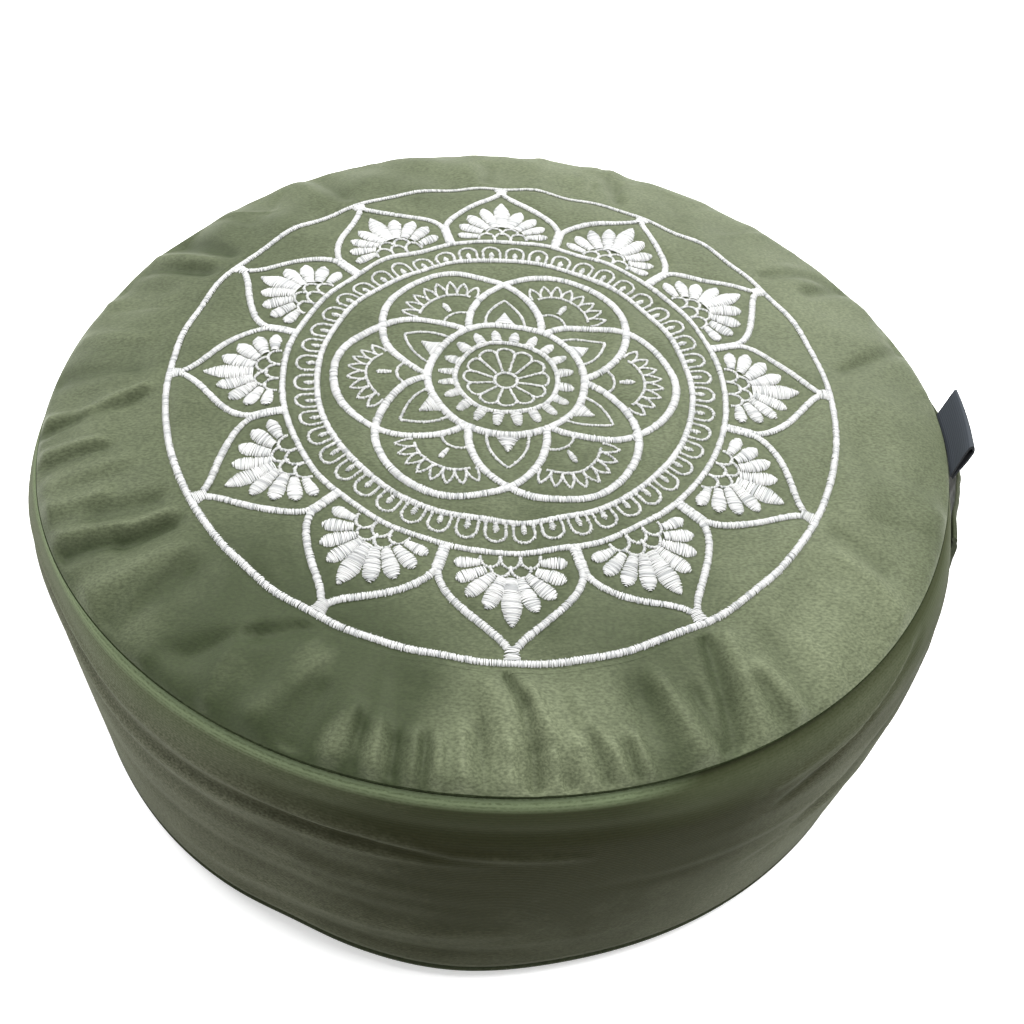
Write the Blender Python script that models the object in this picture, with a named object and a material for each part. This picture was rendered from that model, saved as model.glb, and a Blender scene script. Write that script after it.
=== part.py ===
"""A round meditation cushion: a filled velvet drum, its side carry strap and its folded side label.

Metres, +Z up. The origin is on the floor under the middle of the drum. -Y is the front, and the strap
and the label are on the +X side. Azimuths are in degrees from +X, counter-clockwise seen from above.
"""

import math

import bmesh
import bpy

# ---- the drum ----------------------------------------------------------------------------------------
SEAM_RADIUS = 0.1902  # mean radius of the seam between the top panel and the side band
SEAM_HEIGHT = 0.1430  # height of that seam above the floor
CROWN_RISE = 0.0190  # how far the middle of the top stands above the seam
CROWN_FLATNESS = 3.8  # a higher power keeps the top flat further out
CROWN_SHOULDER = 0.625  # how round the top's shoulder is
BASE_RADIUS = 0.1960  # mean radius of the seam between the side band and the bottom panel
BASE_SEAM_HEIGHT = 0.0120
BULGE = 0.0074  # how far the filling pushes the side band out
BULGE_RISE = 0.59  # under 1 the bulge is fullest near the top seam, as a rolled edge
SEAM_DEPTH = 0.0026  # how far the sewing draws the cloth in
SEAM_HALF_WIDTH = 0.0016
LIP = 0.0008  # how far the top panel rolls out past the seam
FLOOR_RADIUS_INSET = 0.0125  # the flat resting face starts this far inside the bottom seam

# Rings of points, as shares of the way out over the top and down the side band.
TOP_INNER_SHARES = (0.16, 0.32, 0.46)
TOP_MIDDLE_SHARES = (0.58, 0.68)
TOP_OUTER_SHARES = (0.745, 0.79, 0.83, 0.868, 0.904, 0.937, 0.965, 0.985, 0.997)
BAND_SHARES = (0.0, 0.03, 0.08, 0.15, 0.22, 0.29, 0.36, 0.44, 0.53, 0.63, 0.74, 0.86, 1.0)
COLUMNS = 160  # points round the outer rings; the middle and inner rings have a half and a quarter

# The drum isn't quite round. Each wave: lobes round the drum, size, azimuth of one lobe.
TOP_WAVES = ((2, 0.0019, 16.0), (3, 0.0014, -32.0))
BASE_WAVES = ((2, 0.0017, -19.0), (3, 0.0009, -17.0))
BULGE_WAVES = ((1, 0.0021, 0.0), (2, 0.0026, 0.0))

# Where the sewing pulls the drum in or the filling pushes it out: azimuth, half-width, size.
RIM_PULLS = (
    (4.0, 19.0, 0.0037),
    (46.0, 9.0, -0.0012),
    (62.0, 8.0, -0.0010),
    (108.0, 12.0, 0.0010),
    (142.0, 9.0, -0.0014),
    (160.0, 6.0, -0.0012),
    (-160.0, 18.0, 0.0020),
)
BULGE_PULLS = ((-4.0, 14.0, -0.0048), (-171.0, 12.0, 0.0022), (-152.0, 12.0, -0.0034))
BASE_PULLS = ((-95.0, 12.0, 0.0026), (-116.0, 6.0, -0.0012), (-135.0, 12.0, 0.0010))

# Folds that run from the embroidery out to the seam. Each fold: azimuth and radius of its inner end,
# azimuth and radius of its outer end, half-width, height (a crease is below zero).
FOLDS = (
    (-91.8, 0.142, -87.2, 0.192, 0.0045, -0.0032),
    (-89.0, 0.147, -85.6, 0.192, 0.0050, 0.0016),
    (-94.2, 0.146, -91.6, 0.192, 0.0060, 0.0013),
    (-57.8, 0.146, -61.2, 0.192, 0.0060, 0.0018),
    (-62.3, 0.146, -65.6, 0.188, 0.0055, -0.0018),
    (-65.8, 0.148, -70.4, 0.190, 0.0065, 0.0016),
    (-70.0, 0.148, -77.6, 0.190, 0.0060, -0.0015),
    (-55.0, 0.151, -57.6, 0.186, 0.0045, -0.0012),
    (-149.2, 0.147, -156.5, 0.192, 0.0050, 0.0018),
    (-147.2, 0.146, -150.2, 0.190, 0.0065, -0.0022),
    (-145.2, 0.158, -145.8, 0.192, 0.0065, 0.0013),
    (-155.3, 0.152, -159.2, 0.192, 0.0060, 0.0012),
    (-120.7, 0.145, -123.4, 0.170, 0.0050, -0.0012),
    (-178.9, 0.145, -179.6, 0.186, 0.0050, 0.0012),
    (-177.4, 0.145, -176.6, 0.184, 0.0045, -0.0015),
    (-175.6, 0.150, -173.8, 0.188, 0.0055, 0.0013),
    (158.6, 0.156, 158.8, 0.186, 0.0065, -0.0014),
    (152.0, 0.144, 155.0, 0.178, 0.0060, -0.0018),
    (150.0, 0.149, 151.6, 0.182, 0.0050, 0.0012),
    (146.2, 0.146, 146.2, 0.180, 0.0065, -0.0020),
    (120.4, 0.145, 120.4, 0.178, 0.0060, -0.0012),
    (66.0, 0.146, 70.6, 0.170, 0.0050, -0.0010),
    (34.4, 0.147, 30.6, 0.178, 0.0045, -0.0011),
    (26.8, 0.157, 27.8, 0.191, 0.0055, -0.0013),
    (5.8, 0.146, 13.6, 0.192, 0.0045, -0.0014),
)

# Long wrinkles that lie along the side band. Each wrinkle: azimuth and height of one end, azimuth and
# height of the other, half-width, height (a crease is below zero).
WRINKLES = (
    (-178.0, 0.117, -120.0, 0.113, 0.0055, -0.0018),
    (-170.0, 0.106, -112.0, 0.101, 0.0060, 0.0012),
    (-160.0, 0.095, -100.0, 0.088, 0.0060, -0.0013),
    (-150.0, 0.062, -92.0, 0.055, 0.0070, -0.0010),
    (-60.0, 0.060, -28.0, 0.112, 0.0060, -0.0014),
    (-48.0, 0.040, -22.0, 0.082, 0.0060, -0.0012),
    (40.0, 0.104, 95.0, 0.110, 0.0065, -0.0013),
    (70.0, 0.060, 130.0, 0.068, 0.0070, -0.0012),
    (120.0, 0.112, 165.0, 0.104, 0.0060, -0.0014),
)

# ---- the carry strap ---------------------------------------------------------------------------------
STRAP_AZIMUTHS = (-15.2, 24.0)  # its sewn ends
STRAP_WIDTH = 0.028
STRAP_THICKNESS = 0.0024
STRAP_HEIGHT = 0.1150  # height of the middle of its width, at its sewn ends
STRAP_DROOP = 0.0120  # how far its free middle hangs below that
STRAP_BOW = 0.0105  # how far its middle stands off the side band
STRAP_SEWN_SHARE = 0.09  # share of its length that each sewn end takes
STRAP_BOW_FULLNESS = 1.3
STRAP_STATIONS = 37
CLEARANCE = 0.0005  # gap between cloth that touches

# ---- the side label ----------------------------------------------------------------------------------
LABEL_AZIMUTHS = (-9.0, 2.0)
LABEL_ROOT_OUT = 0.0024  # the label starts this far outside the seam
LABEL_LENGTH = 0.0125  # from its root to its fold
LABEL_RISE = 50.0  # degrees that it slants up
LABEL_DRIFTS = (0.0110, 0.0075)  # how far its folded edge leans along the seam, near and far ends
LABEL_THICKNESS = 0.0010
LABEL_HALF_GAPS = (0.0011, 0.0003)  # half the space between the layers, at its near and far ends
LABEL_ROOT_HALF_GAP = 0.0002
LABEL_STATIONS = 9

VELVET = (0.22, 0.26, 0.17)
STRAP_VELVET = (0.19, 0.23, 0.15)
LABEL_GREY = (0.07, 0.085, 0.10)


def waves(azimuth, table):
    """Sum of the smooth waves that a table gives, at an azimuth."""
    return sum(size * math.cos(math.radians(lobes * (azimuth - at))) for lobes, size, at in table)


def turn(azimuth, at):
    """The angle from one azimuth to another, from -180 to 180 degrees."""
    return (azimuth - at + 180.0) % 360.0 - 180.0


def bump(distance, half_width):
    """A smooth bump, 1 in the middle and nearly 0 two half-widths away."""
    return math.exp(-((distance / half_width) ** 2))


def ease(value):
    """Goes smoothly from 0 to 1."""
    value = min(max(value, 0.0), 1.0)
    return value * value * (3.0 - 2.0 * value)


def pulls(azimuth, table):
    """Sum of the local pulls that a table gives, at an azimuth."""
    return sum(size * bump(turn(azimuth, at), width) for at, width, size in table)


def seam_radius(azimuth):
    return SEAM_RADIUS + waves(azimuth, TOP_WAVES) + pulls(azimuth, RIM_PULLS)


def base_radius(azimuth):
    return BASE_RADIUS + waves(azimuth, BASE_WAVES) + pulls(azimuth, BASE_PULLS)


def fold_height(azimuth, radius):
    """How far the folds raise or sink the top panel."""
    total = 0.0
    for azimuth_in, radius_in, azimuth_out, radius_out, half_width, height in FOLDS:
        along = (radius - radius_in) / (radius_out - radius_in)
        if -0.2 < along < 1.4:
            line = azimuth_in + along * (azimuth_out - azimuth_in)
            aside = math.radians(turn(azimuth, line)) * radius
            fade = ease((along + 0.15) / 0.3)
            spread = half_width * (0.7 + 0.5 * along)
            total += height * bump(aside, spread) * fade
    return total


def wrinkle_height(azimuth, height):
    """How far the wrinkles push the side band out or draw it in."""
    total = 0.0
    for azimuth_a, height_a, azimuth_b, height_b, half_width, size in WRINKLES:
        along = turn(azimuth, azimuth_a) / (azimuth_b - azimuth_a)
        if 0.0 < along < 1.0:
            line = height_a + along * (height_b - height_a)
            total += size * bump(height - line, half_width) * math.sin(math.pi * along) ** 0.6
    return total


def top_point(azimuth, share):
    """A point of the top panel, at a share of the way out to its rolled edge."""
    radius = share * (seam_radius(azimuth) + LIP)
    crown = CROWN_RISE * (1.0 - share**CROWN_FLATNESS) ** CROWN_SHOULDER
    height = SEAM_HEIGHT + SEAM_HALF_WIDTH + crown
    height += fold_height(azimuth, radius) * ease((1.0 - share) / 0.03)
    return polar(radius, azimuth, height)


def band_radius(azimuth, height):
    """Radius of the side band's outer surface at a height."""
    top = SEAM_HEIGHT - SEAM_HALF_WIDTH
    bottom = BASE_SEAM_HEIGHT + SEAM_HALF_WIDTH
    down = min(max((top - height) / (top - bottom), 0.0), 1.0)
    straight = (1.0 - down) * seam_radius(azimuth) + down * base_radius(azimuth)
    bulge = BULGE + waves(azimuth, BULGE_WAVES) + pulls(azimuth, BULGE_PULLS)
    bulge *= math.sin(math.pi * down**BULGE_RISE)
    return straight + bulge + wrinkle_height(azimuth, height)


def polar(radius, azimuth, height):
    angle = math.radians(azimuth)
    return (radius * math.cos(angle), radius * math.sin(angle), height)


def add_ring(mesh, count, point_at):
    """A closed ring of vertices; point_at gives the place for each azimuth."""
    return [mesh.verts.new(point_at(360.0 * step / count)) for step in range(count)]


def join_rings(mesh, inner, outer):
    """Faces between two rings, where the outer ring has as many points or twice as many."""
    ratio = len(outer) // len(inner)
    for step, start in enumerate(inner):
        end = inner[(step + 1) % len(inner)]
        if ratio == 1:
            mesh.faces.new((start, outer[step], outer[(step + 1) % len(outer)], end))
        else:
            first, middle = outer[2 * step], outer[2 * step + 1]
            last = outer[(2 * step + 2) % len(outer)]
            mesh.faces.new((start, first, middle))
            mesh.faces.new((start, middle, end))
            mesh.faces.new((middle, last, end))


def close_ring(mesh, ring, point):
    """A fan of triangles from a ring to a point in its middle."""
    middle = mesh.verts.new(point)
    for step, start in enumerate(ring):
        mesh.faces.new((middle, start, ring[(step + 1) % len(ring)]))


def material(name, colour, roughness):
    made = bpy.data.materials.new(name)
    made.use_nodes = True
    shader = made.node_tree.nodes["Principled BSDF"]
    shader.inputs["Base Color"].default_value = (*colour, 1.0)
    shader.inputs["Roughness"].default_value = roughness
    shader.inputs["Metallic"].default_value = 0.0
    return made


def finish(mesh, name, made_of, sharp_angle):
    """Turns a bmesh into a named object with its material, shaded smooth."""
    bmesh.ops.recalc_face_normals(mesh, faces=mesh.faces)
    data = bpy.data.meshes.new(name)
    mesh.to_mesh(data)
    mesh.free()
    data.shade_smooth()
    data.set_sharp_from_angle(angle=math.radians(sharp_angle))
    data.materials.append(made_of)
    made = bpy.data.objects.new(name, data)
    bpy.context.scene.collection.objects.link(made)
    return made


def make_cushion():
    """The filled drum: crowned top, seam channels, bulging side band and flat resting face."""
    mesh = bmesh.new()
    rings = []
    for shares, count in (
        (TOP_INNER_SHARES, COLUMNS // 4),
        (TOP_MIDDLE_SHARES, COLUMNS // 2),
        (TOP_OUTER_SHARES, COLUMNS),
    ):
        for share in shares:
            rings.append(add_ring(mesh, count, lambda azimuth, at=share: top_point(azimuth, at)))

    def seam_channel(azimuth):
        return polar(seam_radius(azimuth) - SEAM_DEPTH, azimuth, SEAM_HEIGHT)

    rings.append(add_ring(mesh, COLUMNS, seam_channel))

    top = SEAM_HEIGHT - SEAM_HALF_WIDTH
    bottom = BASE_SEAM_HEIGHT + SEAM_HALF_WIDTH
    for share in BAND_SHARES:
        height = top + share * (bottom - top)

        def band_point(azimuth, at=height):
            return polar(band_radius(azimuth, at), azimuth, at)

        rings.append(add_ring(mesh, COLUMNS, band_point))

    # Below the bottom seam: inset from the seam's radius, and height above the floor.
    base_profile = (
        (SEAM_DEPTH, BASE_SEAM_HEIGHT),
        (0.0, BASE_SEAM_HEIGHT - SEAM_HALF_WIDTH),
        (0.0008, 0.55 * BASE_SEAM_HEIGHT),
        (0.0038, 0.22 * BASE_SEAM_HEIGHT),
        (FLOOR_RADIUS_INSET, 0.0),
    )
    for inset, height in base_profile:

        def base_point(azimuth, inwards=inset, at=height):
            return polar(base_radius(azimuth) - inwards, azimuth, at)

        rings.append(add_ring(mesh, COLUMNS, base_point))

    for inner, outer in zip(rings, rings[1:]):
        join_rings(mesh, inner, outer)
    close_ring(mesh, rings[0], (0.0, 0.0, SEAM_HEIGHT + SEAM_HALF_WIDTH + CROWN_RISE))
    close_ring(mesh, rings[-1], (0.0, 0.0, 0.0))
    return finish(mesh, "cushion", material("velvet", VELVET, 0.85), 60.0)


def strap_bow(share):
    """How far the strap stands off the band, along its length from 0 to 1."""
    free = (share - STRAP_SEWN_SHARE) / (1.0 - 2.0 * STRAP_SEWN_SHARE)
    if not 0.0 < free < 1.0:
        return 0.0
    return STRAP_BOW * math.sin(math.pi * free) ** STRAP_BOW_FULLNESS


def bridge_stations(mesh, stations):
    """Closed skin over a row of like rings, with the two end rings filled."""
    for first, second in zip(stations, stations[1:]):
        for step, start in enumerate(first):
            after = (step + 1) % len(first)
            mesh.faces.new((start, first[after], second[after], second[step]))
    for end in (stations[0], stations[-1]):
        half = len(end) // 2
        for step in range(half - 1):
            mesh.faces.new((end[step], end[step + 1], end[-step - 2], end[-step - 1]))


def make_strap():
    """The carry strap: sewn down at both ends, bowed out over a finger gap between them."""
    half = 0.5 * STRAP_WIDTH
    flat = half - 0.5 * STRAP_THICKNESS
    across = [(up * flat, 0.0) for up in (-1.0, -0.5, 0.0, 0.5, 1.0)]
    across = [(-half, 0.25)] + across + [(half, 0.25)]
    section = across + [(up, 1.0 - through) for up, through in reversed(across)]
    mesh = bmesh.new()
    stations = []
    first, last = STRAP_AZIMUTHS
    for step in range(STRAP_STATIONS):
        share = step / (STRAP_STATIONS - 1)
        azimuth = first + share * (last - first)
        ring = []
        droop = STRAP_DROOP * strap_bow(share) / STRAP_BOW
        for up, through in section:
            height = STRAP_HEIGHT - droop + up
            radius = band_radius(azimuth, height) + CLEARANCE + strap_bow(share)
            radius += through * STRAP_THICKNESS
            ring.append(mesh.verts.new(polar(radius, azimuth, height)))
        stations.append(ring)
    bridge_stations(mesh, stations)
    return finish(mesh, "carry_handle", material("strap_velvet", STRAP_VELVET, 0.85), 60.0)


def label_section(half_gap):
    """The folded label in section, as (out along the label, across it): outside of the fold, then inside."""
    loops = []
    for offset in (LABEL_THICKNESS, 0.0):
        loop = []
        for share in (0.0, 0.35, 0.7):
            gap = LABEL_ROOT_HALF_GAP + (half_gap - LABEL_ROOT_HALF_GAP) * ease(share / 0.7)
            loop.append((share * LABEL_LENGTH, -gap - offset))
        for turned in (-60.0, -30.0, 0.0, 30.0, 60.0):
            radius = half_gap + offset
            angle = math.radians(turned)
            fold = LABEL_LENGTH - half_gap - LABEL_THICKNESS
            loop.append((fold + radius * math.cos(angle), radius * math.sin(angle)))
        loop += [(out, -across) for out, across in reversed(loop[:3])]
        loops.append(loop)
    return loops[0] + loops[1][::-1]


def make_label():
    """The side label: a short ribbon folded double, its two ends caught in the top seam."""
    mesh = bmesh.new()
    rise = math.radians(LABEL_RISE)
    first, last = LABEL_AZIMUTHS
    near_gap, far_gap = LABEL_HALF_GAPS
    near_drift, far_drift = LABEL_DRIFTS
    stations = []
    for step in range(LABEL_STATIONS):
        share = step / (LABEL_STATIONS - 1)
        azimuth = first + share * (last - first)
        ring = []
        lean = near_drift + share * (far_drift - near_drift)
        for out, across in label_section(near_gap + share * (far_gap - near_gap)):
            drift = lean * out / LABEL_LENGTH
            radius = seam_radius(azimuth) + LABEL_ROOT_OUT
            radius += out * math.cos(rise) - across * math.sin(rise)
            height = SEAM_HEIGHT + out * math.sin(rise) + across * math.cos(rise)
            leaned = azimuth + math.degrees(drift / radius)
            ring.append(mesh.verts.new(polar(radius, leaned, height)))
        stations.append(ring)
    bridge_stations(mesh, stations)
    return finish(mesh, "side_label", material("label_ribbon", LABEL_GREY, 0.6), 60.0)


for old in list(bpy.data.objects):
    bpy.data.objects.remove(old)
make_cushion()
make_strap()
make_label()
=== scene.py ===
"""Dresses the round meditation cushion: velvet cover, satin-stitched top, carry strap, side label.

Metres, +Z up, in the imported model's own frame: the origin is on the floor under the middle of the
drum, -Y is the front, and the strap and the label are on the +X side. Azimuths are in degrees from
+X, counter-clockwise seen from above.
"""

import math

import bpy
import numpy as np
from mathutils import Matrix, Vector
from mathutils.kdtree import KDTree


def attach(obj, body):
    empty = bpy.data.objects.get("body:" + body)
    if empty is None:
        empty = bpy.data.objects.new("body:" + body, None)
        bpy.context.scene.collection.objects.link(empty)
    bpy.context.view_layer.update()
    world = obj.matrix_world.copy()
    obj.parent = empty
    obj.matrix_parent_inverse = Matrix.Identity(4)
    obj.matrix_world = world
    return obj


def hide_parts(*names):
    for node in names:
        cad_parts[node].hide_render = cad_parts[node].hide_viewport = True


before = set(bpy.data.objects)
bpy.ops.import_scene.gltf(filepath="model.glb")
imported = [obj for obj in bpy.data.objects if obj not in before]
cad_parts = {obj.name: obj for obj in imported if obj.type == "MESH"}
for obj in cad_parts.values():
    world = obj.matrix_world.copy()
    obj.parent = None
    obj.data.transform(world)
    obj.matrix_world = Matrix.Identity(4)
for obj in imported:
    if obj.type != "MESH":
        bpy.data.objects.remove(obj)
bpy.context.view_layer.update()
chance = np.random.default_rng(17)
MM = 0.001

# ---- The filled velvet cover -------------------------------------------------------------------------
# Three panels of short-pile velvet, sewn right sides together and turned over a firm filling: a
# crowned round top, a side band that the filling bulges, and a flat base. Both seams lie in channels.
SEAM_RADIUS = 190.2 * MM
SEAM_HEIGHT = 143.0 * MM
SEAM_HALF_WIDTH = 1.6 * MM
LIP = 0.8 * MM  # how far the top panel rolls out past the seam
CROWN_RISE = 19.0 * MM
CROWN_FLATNESS = 3.8
CROWN_SHOULDER = 0.625
BASE_RADIUS = 196.0 * MM
BASE_SEAM_HEIGHT = 12.0 * MM
BULGE = 7.4 * MM
BULGE_RISE = 0.59

# Lobes round the drum, size, azimuth of one lobe.
TOP_WAVES = ((2, 0.0019, 16.0), (3, 0.0014, -32.0))
BASE_WAVES = ((2, 0.0017, -19.0), (3, 0.0009, -17.0))
BULGE_WAVES = ((1, 0.0021, 0.0), (2, 0.0026, 0.0))
# Azimuth, half-width, size.
RIM_PULLS = (
    (4.0, 19.0, 0.0037),
    (46.0, 9.0, -0.0012),
    (62.0, 8.0, -0.0010),
    (108.0, 12.0, 0.0010),
    (142.0, 9.0, -0.0014),
    (160.0, 6.0, -0.0012),
    (-160.0, 18.0, 0.0020),
)
BULGE_PULLS = ((-4.0, 14.0, -0.0048), (-171.0, 12.0, 0.0022), (-152.0, 12.0, -0.0034))
BASE_PULLS = ((-95.0, 12.0, 0.0026), (-116.0, 6.0, -0.0012), (-135.0, 12.0, 0.0010))
# Azimuth and radius of a fold's inner end, the same of its outer end, half-width, height.
FOLDS = (
    (-91.4, 0.1440, -88.7, 0.157, 0.0020, -0.0035),
    (-88.8, 0.155, -87.4, 0.172, 0.0029, -0.0034),
    (-87.4, 0.169, -87.5, 0.192, 0.0029, -0.0033),
    (-88.4, 0.147, -85.2, 0.176, 0.0044, 0.0026),
    (-85.2, 0.173, -85.3, 0.192, 0.0032, 0.0024),
    (-93.6, 0.146, -90.6, 0.172, 0.0052, 0.0018),
    (-90.4, 0.169, -90.2, 0.192, 0.0028, 0.0022),
    (-94.2, 0.160, -92.4, 0.192, 0.0024, -0.0020),
    (-96.2, 0.163, -95.0, 0.192, 0.0027, 0.0020),
    (-98.6, 0.168, -97.8, 0.192, 0.0026, 0.0020),
    (-100.0, 0.168, -99.3, 0.192, 0.0022, -0.0018),
    (-101.4, 0.167, -100.7, 0.192, 0.0027, 0.0023),
    (-103.4, 0.170, -102.7, 0.192, 0.0024, -0.0020),
    (-105.6, 0.166, -104.6, 0.192, 0.0038, 0.0026),
    (-107.6, 0.168, -107.0, 0.192, 0.0026, -0.0016),
    (-109.0, 0.163, -109.8, 0.192, 0.0044, 0.0026),
    (-113.4, 0.160, -114.6, 0.192, 0.0044, -0.0018),
    (-114.6, 0.148, -118.4, 0.182, 0.0040, 0.0016),
    (-84.9, 0.171, -83.6, 0.192, 0.0022, -0.0023),
    (-82.8, 0.168, -81.7, 0.192, 0.0026, 0.0023),
    (-80.9, 0.167, -79.2, 0.192, 0.0022, -0.0023),
    (-78.7, 0.171, -77.8, 0.192, 0.0024, 0.0020),
    (-77.0, 0.171, -76.3, 0.192, 0.0020, -0.0020),
    (-75.7, 0.168, -75.0, 0.192, 0.0024, 0.0019),
    (-73.4, 0.147, -72.6, 0.192, 0.0070, -0.0026),
    (-70.6, 0.149, -68.0, 0.192, 0.0050, 0.0028),
    (-66.4, 0.157, -66.2, 0.190, 0.0030, -0.0016),
    (-60.8, 0.1440, -62.4, 0.163, 0.0036, -0.0030),
    (-62.2, 0.161, -65.2, 0.190, 0.0042, -0.0030),
    (-57.4, 0.146, -59.8, 0.166, 0.0048, 0.0022),
    (-59.6, 0.163, -61.4, 0.192, 0.0052, 0.0023),
    (-58.4, 0.166, -57.8, 0.188, 0.0030, -0.0018),
    (-56.8, 0.160, -56.0, 0.190, 0.0036, 0.0019),
    (-53.0, 0.151, -53.8, 0.186, 0.0042, -0.0018),
    (-49.0, 0.160, -49.6, 0.192, 0.0045, 0.0014),
    (-147.0, 0.1445, -148.6, 0.170, 0.0034, -0.0030),
    (-148.6, 0.168, -151.6, 0.192, 0.0037, -0.0027),
    (-149.4, 0.145, -150.2, 0.166, 0.0027, 0.0026),
    (-150.6, 0.164, -154.0, 0.190, 0.0032, 0.0022),
    (-152.4, 0.147, -154.6, 0.176, 0.0050, -0.0024),
    (-157.4, 0.164, -158.8, 0.192, 0.0046, 0.0025),
    (-142.4, 0.145, -145.0, 0.192, 0.0060, 0.0024),
    (-138.8, 0.150, -139.6, 0.192, 0.0060, -0.0018),
    (-165.0, 0.160, -165.4, 0.190, 0.0032, -0.0015),
    (-166.6, 0.162, -167.6, 0.192, 0.0028, 0.0020),
    (-162.0, 0.150, -162.4, 0.190, 0.0050, 0.0016),
    (-119.2, 0.145, -124.6, 0.160, 0.0046, -0.0024),
    (-123.6, 0.151, -130.5, 0.180, 0.0050, -0.0023),
    (-117.4, 0.146, -119.4, 0.184, 0.0050, 0.0020),
    (-127.6, 0.154, -124.6, 0.190, 0.0046, 0.0018),
    (-177.8, 0.1445, -173.8, 0.172, 0.0030, 0.0024),
    (-173.8, 0.170, -173.4, 0.192, 0.0034, 0.0024),
    (-175.0, 0.146, -171.8, 0.192, 0.0034, -0.0023),
    (178.6, 0.146, 178.8, 0.190, 0.0050, -0.0019),
    (172.0, 0.150, 171.0, 0.188, 0.0050, 0.0016),
    (158.6, 0.156, 158.8, 0.188, 0.0060, -0.0019),
    (152.0, 0.1445, 155.0, 0.182, 0.0052, -0.0030),
    (149.6, 0.148, 151.6, 0.186, 0.0044, 0.0022),
    (146.2, 0.1445, 146.2, 0.184, 0.0056, -0.0030),
    (120.4, 0.145, 120.4, 0.182, 0.0055, -0.0020),
    (93.0, 0.1445, 92.0, 0.170, 0.0040, -0.0016),
    (66.0, 0.1445, 70.6, 0.174, 0.0045, -0.0019),
    (34.4, 0.1445, 30.6, 0.180, 0.0042, -0.0020),
    (26.8, 0.157, 27.8, 0.191, 0.0050, -0.0022),
    (5.8, 0.146, 13.6, 0.192, 0.0045, -0.0019),
    (-30.0, 0.1445, -31.5, 0.176, 0.0042, -0.0019),
    (-33.5, 0.150, -36.0, 0.190, 0.0050, 0.0015),
)
# Short puckers at the top seam: azimuth, half-width in degrees, height, reach in from the seam.
PUCKERS = (
    (-134.0, 1.2, 0.0011, 0.013),
    (-126.0, 1.0, -0.0010, 0.011),
    (-44.0, 1.0, -0.0009, 0.010),
    (-41.0, 1.3, 0.0009, 0.015),
    (-25.0, 1.0, 0.0007, 0.010),
    (-18.0, 1.1, 0.0008, 0.012),
    (5.0, 1.1, 0.0010, 0.010),
    (15.0, 0.8, -0.0010, 0.012),
    (38.0, 1.3, 0.0008, 0.012),
    (83.0, 1.2, 0.0009, 0.014),
    (111.0, 1.1, 0.0009, 0.012),
    (163.0, 1.0, 0.0010, 0.012),
    (-170.0, 0.9, 0.0009, 0.012),
)
SMALL_FOLDS = 44  # random soft folds between the embroidery and the seam
SWELLS = 16  # random low swells all over the top panel
SWELL_STEEPNESS = 0.006  # height of a swell as a share of its length
SEAM_RIPPLES = ((31, 0.16), (43, 0.16), (59, 0.14), (74, 0.12))  # ripples round the seam, millimetres
RIPPLE_REACH = 11.0 * MM
# Azimuth and height of one end of a wrinkle in the band, the same of the other, half-width, size.
WRINKLES = (
    (-178.0, 0.117, -124.0, 0.108, 0.0050, -0.0017),
    (-172.0, 0.125, -122.0, 0.118, 0.0030, 0.0010),
    (-170.0, 0.106, -116.0, 0.101, 0.0060, 0.0012),
    (-160.0, 0.095, -100.0, 0.088, 0.0060, -0.0013),
    (-150.0, 0.062, -92.0, 0.055, 0.0070, -0.0010),
    (-124.0, 0.126, -62.0, 0.124, 0.0048, -0.0015),
    (-129.0, 0.118, -97.0, 0.115, 0.0025, 0.0012),
    (-105.0, 0.115, -80.0, 0.109, 0.0027, 0.0010),
    (-133.0, 0.1085, -96.0, 0.112, 0.0034, -0.0013),
    (-130.0, 0.104, -90.0, 0.106, 0.0025, 0.0009),
    (-134.0, 0.034, -86.0, 0.047, 0.0050, 0.0011),
    (-126.0, 0.022, -84.0, 0.030, 0.0045, -0.0009),
    (-54.0, 0.117, -35.0, 0.136, 0.0025, 0.0012),
    (-47.0, 0.122, -32.0, 0.135, 0.0030, -0.0014),
    (-60.0, 0.120, -43.0, 0.130, 0.0024, 0.0010),
    (-59.0, 0.107, -43.0, 0.124, 0.0034, -0.0014),
    (-62.0, 0.067, -38.0, 0.073, 0.0032, 0.0009),
    (-60.0, 0.060, -28.0, 0.112, 0.0060, -0.0014),
    (-48.0, 0.040, -22.0, 0.082, 0.0060, -0.0012),
    (40.0, 0.104, 95.0, 0.110, 0.0065, -0.0013),
    (70.0, 0.060, 130.0, 0.068, 0.0070, -0.0012),
    (120.0, 0.112, 165.0, 0.104, 0.0060, -0.0014),
)
FINE_WRINKLES = 46  # random wrinkles in the band
COLUMNS = 864  # points round the outer rings of the mesh
RING_STEP = 1.7  # millimetres between the rings under the embroidery
PLAIN_EDGE = 147.0 * MM  # where the plain border outside the embroidery starts
PLAIN_RINGS = 30
TOP, SIDE, BASE, SEAM = range(4)  # the panels; SEAM is velvet painted dark, as painted shade, in and beside the seams


def waves(azimuth, table):
    """Sum of the smooth waves that a table gives."""
    return sum(size * np.cos(np.radians(lobes * (azimuth - at))) for lobes, size, at in table)


def turn(azimuth, at):
    """The angle from one azimuth to another, from -180 to 180 degrees."""
    return (azimuth - at + 180.0) % 360.0 - 180.0


def bump(distance, half_width):
    """A smooth bump, 1 in the middle and nearly 0 two half-widths away."""
    return np.exp(-((distance / half_width) ** 2))


def ease(value):
    """Goes smoothly from 0 to 1."""
    value = np.clip(value, 0.0, 1.0)
    return value * value * (3.0 - 2.0 * value)


def part_way(first, last, share):
    """The value at a share of the way from the first to the last."""
    return first + share * (last - first)


def pulls(azimuth, table):
    """Sum of the local pulls that a table gives."""
    return sum(size * bump(turn(azimuth, at), width) for at, width, size in table)


def seam_radius(azimuth):
    """Radius of the top seam's line."""
    return SEAM_RADIUS + waves(azimuth, TOP_WAVES) + pulls(azimuth, RIM_PULLS)


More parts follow.
